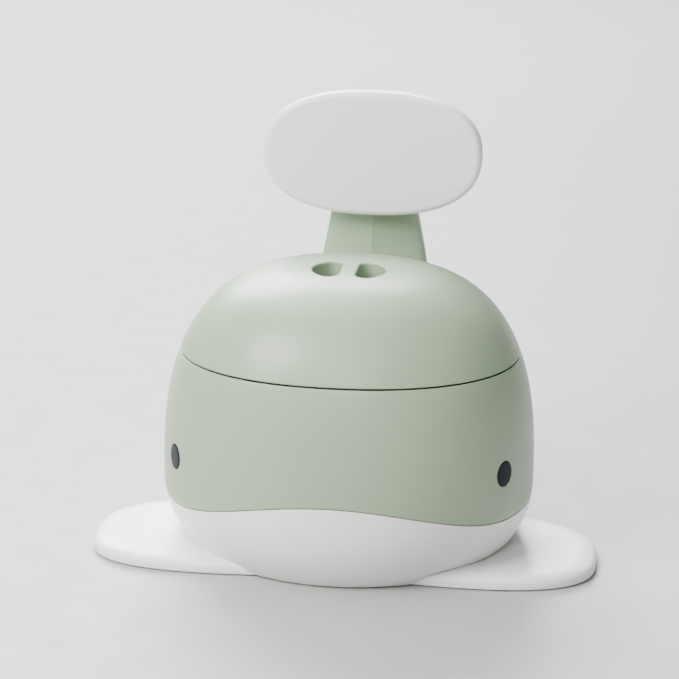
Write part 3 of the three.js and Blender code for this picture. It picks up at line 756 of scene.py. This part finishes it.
def make_lid():
    """The dome: rings up to a patch round its top, which holds the two finger holes."""
    edge_z = LID_LOW.z
    lip_height = 2
    patch_half = 64.0
    rim_round = 1.7
    sleeve_z = HULL_TOP_Z - SLEEVE_DEPTH
    shape = Shape()

    def dome_ring(share, inset):
        """A ring on the dome, at a share of its half width at the widest level."""
        half_x = (HULL_HALF_WIDTH - inset) * share
        half_y = (HULL_HALF_WIDTH * HULL_DEPTH_RATIO - inset) * share
        ring = oval(half_x, half_y, 0, HULL_SQUARE_RIM)
        ring[:, 2] = dome_z(ring[:, 0], ring[:, 1], inset)
        return ring

    def share_at(z, inset):
        """The share of the widest level's half width that the dome has at height z."""
        height = (z - HULL_WIDEST_Z) / (HULL_TOP_Z - inset - HULL_WIDEST_Z)
        return (1 - height**HULL_SHOULDER) ** (1 / HULL_CROWN)

    outer_patch = patch_half / HULL_HALF_WIDTH
    inner_patch = (patch_half - 2) / HULL_HALF_WIDTH
    low_outer = share_at(edge_z + lip_height, 0)
    low_inner = share_at(edge_z + lip_height, WALL)
    levels = np.linspace(0, 1, 40)
    outer = [dome_ring(outer_patch + (low_outer - outer_patch) * s, 0) for s in levels]
    inner = [dome_ring(low_inner + (inner_patch - low_inner) * s, WALL) for s in levels]
    lip = []
    lip_line = fillet([(0, lip_height, 0), (0, 0, 0.6), (WALL, 0, 0.6), (WALL, lip_height, 0)])
    for across, z in lip_line[1:-1]:
        mix = across / WALL
        outside = dome_ring(share_at(edge_z + z, 0), 0)
        inside_face = dome_ring(share_at(edge_z + z, WALL), WALL)
        lip.append(outside * (1 - mix) + inside_face * mix)
    shape.loft([*outer, *lip, *inner])
    holes = [blowhole_outline(side, rim_round) for side in (-1, 1)]
    sleeves = [blowhole_outline(side, SLEEVE_WALL) for side in (-1, 1)]
    shape.patch(outer[0][:, :2], holes, dome_z)
    shape.patch(inner[-1][:, :2], sleeves, lambda x, y: dome_z(x, y, WALL))
    for side in (-1, 1):
        rings = []
        top = dome_z(*blowhole_outline(side, rim_round).T)
        for turn in np.linspace(0, math.pi / 2, 8):
            line = blowhole_outline(side, rim_round * (1 - math.sin(turn)))
            rings.append(at_height(line, top - rim_round * (1 - math.cos(turn))))
        wall_line = blowhole_outline(side)
        start = rings[-1][:, 2]
        for share in np.linspace(0, 1, 9)[1:]:
            rings.append(at_height(wall_line, start + (sleeve_z - start) * share))
        sleeve_line = blowhole_outline(side, SLEEVE_WALL)
        roof = dome_z(*sleeve_line.T, WALL)
        for share in np.linspace(0, 1, 9):
            rings.append(at_height(sleeve_line, sleeve_z + (roof - sleeve_z) * share))
        shape.loft(rings)
    piece("lid_skin", shape, SAGE, "lid", "lid_dome")


# ---------------------------------------------------------------- seat and pot


# Half widths along X and Y.
SEAT_OUTER = ((SEAT_HIGH.x - SEAT_LOW.x) / 2, (SEAT_HIGH.y - SEAT_LOW.y) / 2)
SEAT_OPENING = (73.4, 81.4)
GUARD_OPENING = (70.0, 78.0)
GUARD_WALL = 2.6
GUARD_FLANGE = 8.9  # height of the guard's flange over the seat's underside
GUARD_RISE = 26.0
GUARD_RISE_START = 0.22  # where the raised front starts to fall, in radians from the nose
GUARD_RISE_SPAN = 0.6
POT_RIM = ((POT_HIGH.x - POT_LOW.x) / 2, (POT_HIGH.y - POT_LOW.y) / 2)
POT_INSIDE = (88.0, 83.0)
POT_SKIN = 2.5
POT_FLOOR = POT_LOW.z + POT_SKIN + 3.0
POT_FOOT = (0.58, 0.62)  # the foot ring's two faces, as shares of the opening's size


def make_seat():
    """The seat ring, from a profile of (share of the way outwards, height, radius)."""
    under = SEAT_LOW.z
    profile = [
        (0, 2.5, 0.6),
        (0, 8.6, 0.8),
        (0.2, 8.6, 5),
        (0.5, 11, 14),
        (0.8, 10, 10),
        (1, 3, 2.2),
        (1, 0, 0.6),
        (0.94, 0, 0.6),
        (0.92, 4, 1.2),
        (0.5, 7.8, 8),
        (0.07, 5.5, 1),
        (0.05, 2.5, 0.6),
    ]
    span = SEAT_OUTER[0] - SEAT_OPENING[0]
    scaled = fillet([(share * span, under + z, radius) for share, z, radius in profile])
    rings = []
    for across, z in refine(scaled, 3.0):
        share = across / span
        half_x, half_y = (
            inner + (outer - inner) * share for inner, outer in zip(SEAT_OPENING, SEAT_OUTER)
        )
        rings.append(oval(half_x, half_y, z))
    shape = Shape().loft(rings, wrap=True)
    piece("seat_skin", shape, WHITE, "seat", "seat_ring")


def make_guard():
    """The splash guard: a collar in the seat's opening, which rises at the front."""
    away = np.radians(from_front(turns()))
    rise = GUARD_RISE * (1 - smoothstep((away - GUARD_RISE_START) / GUARD_RISE_SPAN))
    flange = SEAT_LOW.z + GUARD_FLANGE
    profile = [
        (0, GUARD_LOW_Z, 0, 0.8),
        (0, flange + 2.9, 1, 1.3),
        (3.2, flange + 2.9, 1, 1.3),
        (3.8, flange + 2.0, 0, 0.8),
        (8, flange + 1.3, 0, 2),
        (9, flange + 0.3, 0, 0.3),
        (8.7, flange, 0, 0.2),
        (GUARD_WALL, flange, 0, 0.2),
        (GUARD_WALL, GUARD_LOW_Z, 0, 0.8),
    ]
    lift_scale = 20  # lets the fillets see the raised part as upright
    rounded = fillet([(across, z, lift * lift_scale, radius) for across, z, lift, radius in profile])
    rings = [
        oval(GUARD_OPENING[0] + across, GUARD_OPENING[1] + across, z + rise * lift / lift_scale)
        for across, z, lift in refine(rounded, 2.0)
    ]
    shape = Shape().loft(rings, wrap=True)
    piece("guard_skin", shape, WHITE, "seat", "splash_guard")


def make_pot():
    """The pot: its outside, the rim that it hangs by, its inside, and a foot ring below."""
    rim_z = POT_HIGH.z
    depth = rim_z - POT_FLOOR
    inside_x, inside_y = POT_INSIDE

    def width_at(height):
        """Share of the opening's size at a share of the depth, over a flat floor."""
        return (0.52 + 0.48 * (1 - (1 - height) ** 3) ** (1 / 2.2)) * (0.96 + 0.04 * height)

    shares = [(width_at(height), height) for height in np.linspace(0, 1, 40) ** 2]
    inner = [oval(inside_x * w, inside_y * w, POT_FLOOR + depth * h) for w, h in shares]
    outer = [
        oval(inside_x * w + POT_SKIN, inside_y * w + POT_SKIN, POT_FLOOR - POT_SKIN + depth * h)
        for w, h in shares[:-1]
    ]
    edge = []
    half_skin = POT_SKIN / 2
    for turn in np.linspace(-math.pi / 2, math.pi / 2, 9):
        grow = half_skin * math.cos(turn) - half_skin
        z = rim_z - half_skin * (1 - math.sin(turn))
        edge.append(oval(POT_RIM[0] + grow, POT_RIM[1] + grow, z))
    under = oval(inside_x + POT_SKIN + 1, inside_y + POT_SKIN + 1, rim_z - POT_SKIN)
    lip = [oval(inside_x + 1.2, inside_y + 1.2, rim_z), oval(inside_x + 0.3, inside_y + 0.3, rim_z - 0.5)]
    rings = [*outer, under, *edge, *lip, *reversed(inner[:-1])]
    shape = Shape().loft(rings, start_cap=True, end_cap=True)
    inner_face, outer_face = POT_FOOT
    foot_top = POT_FLOOR - 1.0
    foot = [(inner_face, POT_LOW.z), (outer_face, POT_LOW.z), (outer_face, foot_top), (inner_face, foot_top)]
    shape.loft([oval(inside_x * w, inside_y * w, z) for w, z in foot], wrap=True)
    piece("pot_skin", shape, WHITE, "pot", "inner_pot")


# ---------------------------------------------------------------- tail


# Level, front and rear measured from the body's middle, and half width.
TAIL_LEVELS = np.array(
    [
        (62, 112, 131, 43),
        (70, 112, 138, 49),
        (84, 112, 148.5, 55),
        (100, 112, 158, 58),
        (118, 112, 166, 57),
        (136, 113, 172, 54.5),
        (150, 127, 175.5, 52),
        (162, 134, 178, 49.5),
        (182, 142.5, 179.3, 45.5),
        (202, 145, 179, 41.9),
        (220, 145.2, 177.6, 38.4),
        (236, 144.6, 175.8, 35.6),
        (262, 143.7, 171.5, 33),
        (290, 143.6, 165.5, 31.5),
        (306, 143.6, 160.5, 28),
        (316, 143.6, 155.5, 22),
    ],
    float,
)
TAIL_SQUARE = 0.6
TAIL_RIDGE = 0.13
TAIL_SPLIT = 0.1  # half the gap between the two halves
TAIL_TOP_ROUND = 5.0
TAIL_SMOOTHING = 9  # how far the smoothing reaches up and down
DRIVER_BORE = 60.0


def tail_levels():
    """The levels' sizes along the tail, smoothed so that they run in one curve."""
    z = np.arange(TAIL_LEVELS[0, 0], TAIL_LEVELS[-1, 0] + 0.5, 1.0)
    window = np.hanning(2 * TAIL_SMOOTHING + 1)
    window /= window.sum()
    made = [z]
    for column in TAIL_LEVELS.T[1:]:
        values = np.interp(z, TAIL_LEVELS[:, 0], column)
        padded = np.pad(values, TAIL_SMOOTHING, mode="reflect", reflect_type="odd")
        made.append(np.convolve(padded, window, mode="valid"))
    return np.column_stack(made)


def make_tail(side):
    """One half of the tail, cut to the body's surface and bored for the backrest's screws."""
    rings = []
    angle = np.linspace(-math.pi / 2, math.pi / 2, 90)
    for z, front, rear, half in tail_levels():
        into = max(0, z - (TAIL_TOP_Z - TAIL_TOP_ROUND)) / TAIL_TOP_ROUND
        inset = TAIL_TOP_ROUND * (1 - math.sqrt(max(0, 1 - into * into)))
        deep = max(1.0, (rear - front) / 2 - inset)
        x = np.maximum((half - inset) * np.cos(angle) ** TAIL_SQUARE, TAIL_SPLIT)
        back = np.sign(np.sin(angle)) * np.abs(np.sin(angle)) ** TAIL_SQUARE
        y = CENTRE_Y + (front + rear) / 2 + deep * back + TAIL_RIDGE * x * np.maximum(0, -np.sin(angle))
        rings.append(np.stack([side * x, y, np.full(len(x), z)], -1))
    shape = Shape().loft(rings, start_cap=True, end_cap=True)
    lowest = HULL_WIDEST_Z - 8  # below the tail's foot
    highest = HULL_TOP_Z - 0.5  # short of the level where the rings shrink to a point
    levels = lowest + (highest - lowest) * np.sin(np.linspace(0, math.pi / 2, 40))
    hull_rings = [hull_points(turns(), z, -2 * GAP) for z in levels]
    cutters = [Shape().loft(hull_rings, start_cap=True, end_cap=True)]
    for _, low, high in nodes_named("backrest_screw"):
        x, z = (low.x + high.x) / 2, (low.z + high.z) / 2
        if x * side > 0:
            seat = high.y - SCREW_HEAD_HEIGHT - GAP
            cutters.append(rod(SCREW_HEAD + GAP, (x, seat, z), (x, seat + DRIVER_BORE, z), 40))
    name = "left" if side < 0 else "right"
    piece(f"tail_{name}_skin", shape, SAGE, "base", f"tail_{name}", cutters)


# ---------------------------------------------------------------- backrest


PAD_HALF = ((PAD_HIGH.x - PAD_LOW.x) / 2, (PAD_HIGH.z - PAD_LOW.z) / 2)
PAD_CENTRE_Z = (PAD_HIGH.z + PAD_LOW.z) / 2
PAD_SQUARE = 2.4
PAD_EDGE = 5.0
COVER_EDGE = 2.2
PAD_LINE = superellipse(*PAD_HALF, PAD_SQUARE, 360)


def pad_ring(inset, y):
    """The backrest's outline, moved inwards by inset, standing at y."""
    outline = grown(PAD_LINE, -inset)
    return np.column_stack([outline[:, 0], np.full(len(outline), y), outline[:, 1] + PAD_CENTRE_Z])


def make_backrest():
    """The pad's shell, and the cover plate behind it."""
    front, back = PAD_LOW.y, PAD_HIGH.y
    profile = [(30.0, front), (12.0, front)]
    for turn in np.linspace(0, math.pi / 2, 12):
        profile.append((PAD_EDGE * (1 - math.sin(turn)), front + PAD_EDGE * (1 - math.cos(turn))))
    profile += [(0, back - 0.6), (0.6, back), (12.0, back)]
    shape = Shape().loft([pad_ring(inset, y) for inset, y in profile], start_cap=True, end_cap=True)
    piece("backrest_front_skin", shape, WHITE, "base", "backrest_front")
    low, high = COVER_LOW.y, COVER_HIGH.y
    cover = [(12.0, low), (0.5, low), (0, low + 0.4)]
    for turn in np.linspace(0, math.pi / 2, 7):
        cover.append((COVER_EDGE * (1 - math.cos(turn)), high - COVER_EDGE * (1 - math.sin(turn))))
    cover.append((14.0, high))
    shape = Shape().loft([pad_ring(inset, y) for inset, y in cover], start_cap=True, end_cap=True)
    piece("backrest_rear_skin", shape, WHITE, "base", "backrest_rear")


# ---------------------------------------------------------------- screws, feet and pads


def lathe(profile, place, along, count=40):
    """Turns (radius, distance) points about an axis that starts at place."""
    turn = Vector((0, 0, 1)).rotation_difference(Vector(along)).to_matrix()
    rings = []
    for radius, far in profile:
        ring = [turn @ Vector((radius * math.cos(t), radius * math.sin(t), far)) for t in turns(count)]
        rings.append([Vector(place) + p for p in ring])
    return Shape().loft(rings, start_cap=True, end_cap=True)


def make_screw(name, low, high, along):
    """A pan-head screw with a cross recess; along points from its head to its tip."""
    along = Vector(along)
    middle = (low + high) / 2
    length = abs((high - low).dot(along))
    head_top = middle - along * length / 2
    head = SCREW_HEAD_HEIGHT
    profile = [(0.2, 0), (1.8, 0.06), (2.9, 0.35), (3.6, 0.95), (3.95, 1.7), (SCREW_HEAD, head - 0.15)]
    profile += [(SCREW_HEAD - 0.15, head), (SCREW_SHANK, head), (SCREW_SHANK, head + 1.5)]
    for far in np.arange(head + 2, length - 2 * SCREW_PITCH, SCREW_PITCH):
        profile += [(SCREW_ROOT, far), (SCREW_SHANK, far + 0.45), (SCREW_ROOT, far + 0.9)]
    profile += [(1.3, length - 1.6), (0.15, length)]
    across = along.orthogonal().normalized()
    other = along.cross(across)
    slots = []
    corners = [(1, 1), (-1, 1), (-1, -1), (1, -1)]
    for long_way, narrow_way in ((across, other), (other, across)):
        narrow = narrow_way * SCREW_SLOT_HALF_WIDTH
        rings = []
        for far, half_length in ((-0.5, 2.3), (1.4, 1.6)):
            start = head_top + along * far
            rings.append([start + long_way * half_length * a + narrow * b for a, b in corners])
        slots.append(Shape().loft(rings, start_cap=True, end_cap=True))
    shape = lathe(profile, head_top, along)
    piece(f"{name}_turned", shape, STEEL, "base", name, slots, sharp=40)


def make_fasteners():
    for prefix, along in (("base", (0, 0, 1)), ("tail", (0, 1, 0)), ("backrest", (0, -1, 0))):
        for name, low, high in nodes_named(f"{prefix}_screw"):
            make_screw(name, low, high, along)


def foot_of(low, high):
    """The middle of a box's lowest face."""
    return ((low.x + high.x) / 2, (low.y + high.y) / 2, low.z)


def make_feet():
    """Rubber feet with a hollow sole."""
    for name, low, high in nodes_named("rubber_foot"):
        radius, height = (high.x - low.x) / 2, high.z - low.z
        profile = [(0.2, 0.5), (radius * 0.55, 0.5), (radius * 0.68, 0), (radius * 0.93, 0), (radius, 0.5)]
        profile += [(radius, height - 0.3), (radius - 0.3, height), (0.2, height)]
        shape = lathe(profile, foot_of(low, high), (0, 0, 1), 56)
        piece(f"{name}_turned", shape, RUBBER, "base", name)


def make_seat_pads():
    """Round pads under the seat."""
    for name, low, high in nodes_named("seat_pad"):
        radius, height = (high.x - low.x) / 2, high.z - low.z
        profile = [(0.2, 0), (radius - 0.6, 0), (radius, 0.5), (radius - 0.4, height - 0.3)]
        profile += [(radius - 0.7, height), (0.2, height)]
        shape = lathe(profile, foot_of(low, high), (0, 0, 1), 32)
        piece(f"{name}_turned", shape, RUBBER, "seat", name)


def make_lid_pads():
    """Soft blocks that follow the lid's edge."""
    half_turn = 0.05  # half the angle that a pad spans round the lid, in radians
    front, back = 1.4, WALL - GAP
    for name, low, high in nodes_named("lid_pad"):
        middle = (low + high) / 2
        start = math.atan2((middle.y - CENTRE_Y) / HULL_DEPTH_RATIO, middle.x)
        corners = [(front, low.z), (back, low.z), (back, high.z), (front, high.z)]
        section = fillet([(*corner, 0.3) for corner in corners], 3)
        rings = []
        for shift in np.linspace(-half_turn, half_turn, 15):
            ring = [hull_points(start + shift, LID_LOW.z, inset) for inset, _ in section]
            rings.append([(p[0], p[1], z) for p, (_, z) in zip(ring, section)])
        shape = Shape().loft(rings, start_cap=True, end_cap=True)
        piece(f"{name}_block", shape, RUBBER, "lid", name)


# ---------------------------------------------------------------- stage, light and camera

# Places and sizes are in metres from here on.
FLOOR_SIZE = 14


def paint_floor():
    """A plain pale floor."""
    bpy.ops.mesh.primitive_plane_add(size=FLOOR_SIZE)
    floor = bpy.context.object
    floor.name = "floor"
    paint = moulded("floor_paint", (0.4, 0.395, 0.39), (0.44, 0.435, 0.43), 0.6, bump=0.0)
    floor.data.materials.append(paint)


def area_light(name, place, target, size, power, colour=(1, 1, 1)):
    """A rectangular light at place that faces target."""
    light = bpy.data.lights.new(name, "AREA")
    light.shape = "RECTANGLE"
    light.size, light.size_y = size
    light.energy = power
    light.color = colour
    obj = bpy.data.objects.new(name, light)
    bpy.context.scene.collection.objects.link(obj)
    obj.location = place
    obj.rotation_euler = (Vector(target) - Vector(place)).to_track_quat("-Z", "Y").to_euler()


def light_stage():
    """A dim room, a key at the front left, a soft light above, a window behind and a weak front."""
    world = bpy.data.worlds.new("studio")
    bpy.context.scene.world = world
    world.use_nodes = True
    background = world.node_tree.nodes["Background"]
    background.inputs["Color"].default_value = (1.0, 0.99, 0.97, 1)
    background.inputs["Strength"].default_value = 0.2
    area_light("key", (-1.2, -1.2, 1.5), (0, 0, 0.2), (1.0, 1.0), 82, (1.0, 0.99, 0.965))
    area_light("sky", (-0.5, 0.2, 2.1), (0, 0, 0.15), (1.4, 1.4), 35)
    area_light("window", (-1.36, 3.9, 3.1), (0, 0, 0.18), (3.4, 2.7), 950, (0.97, 0.985, 1))
    area_light("front", (-0.2, -2.2, 1.6), (0, 0, 0.18), (1.0, 1.0), 26)


CAMERA_YAW = 7.042
CAMERA_PITCH = 15.541
CAMERA_ROLL = 0.775
CAMERA_PLACE = (0.1872, -1.61175, 0.6077)
CAMERA_LENS = 114.0


def place_camera():
    """The camera at the front, a little to the right and above."""
    data = bpy.data.cameras.new("camera")
    data.sensor_width = 36.0
    data.lens = CAMERA_LENS
    data.clip_start = 0.05
    data.clip_end = 50
    camera = bpy.data.objects.new("camera", data)
    bpy.context.scene.collection.objects.link(camera)
    yaw = math.radians(CAMERA_YAW)
    pitch = math.radians(CAMERA_PITCH)
    turn = Matrix.Rotation(yaw, 4, "Z") @ Matrix.Rotation(math.pi / 2 - pitch, 4, "X")
    roll = Matrix.Rotation(math.radians(CAMERA_ROLL), 4, "Z")
    camera.matrix_world = Matrix.Translation(CAMERA_PLACE) @ turn @ roll
    bpy.context.scene.camera = camera


place_camera()
make_base_plate()
make_belly()
make_body()
for side in (-1, 1):
    make_eye(side)
make_lid()
make_seat()
make_guard()
make_pot()
for side in (-1, 1):
    make_tail(side)
make_backrest()
make_fasteners()
make_feet()
make_seat_pads()
make_lid_pads()
paint_floor()
light_stage()
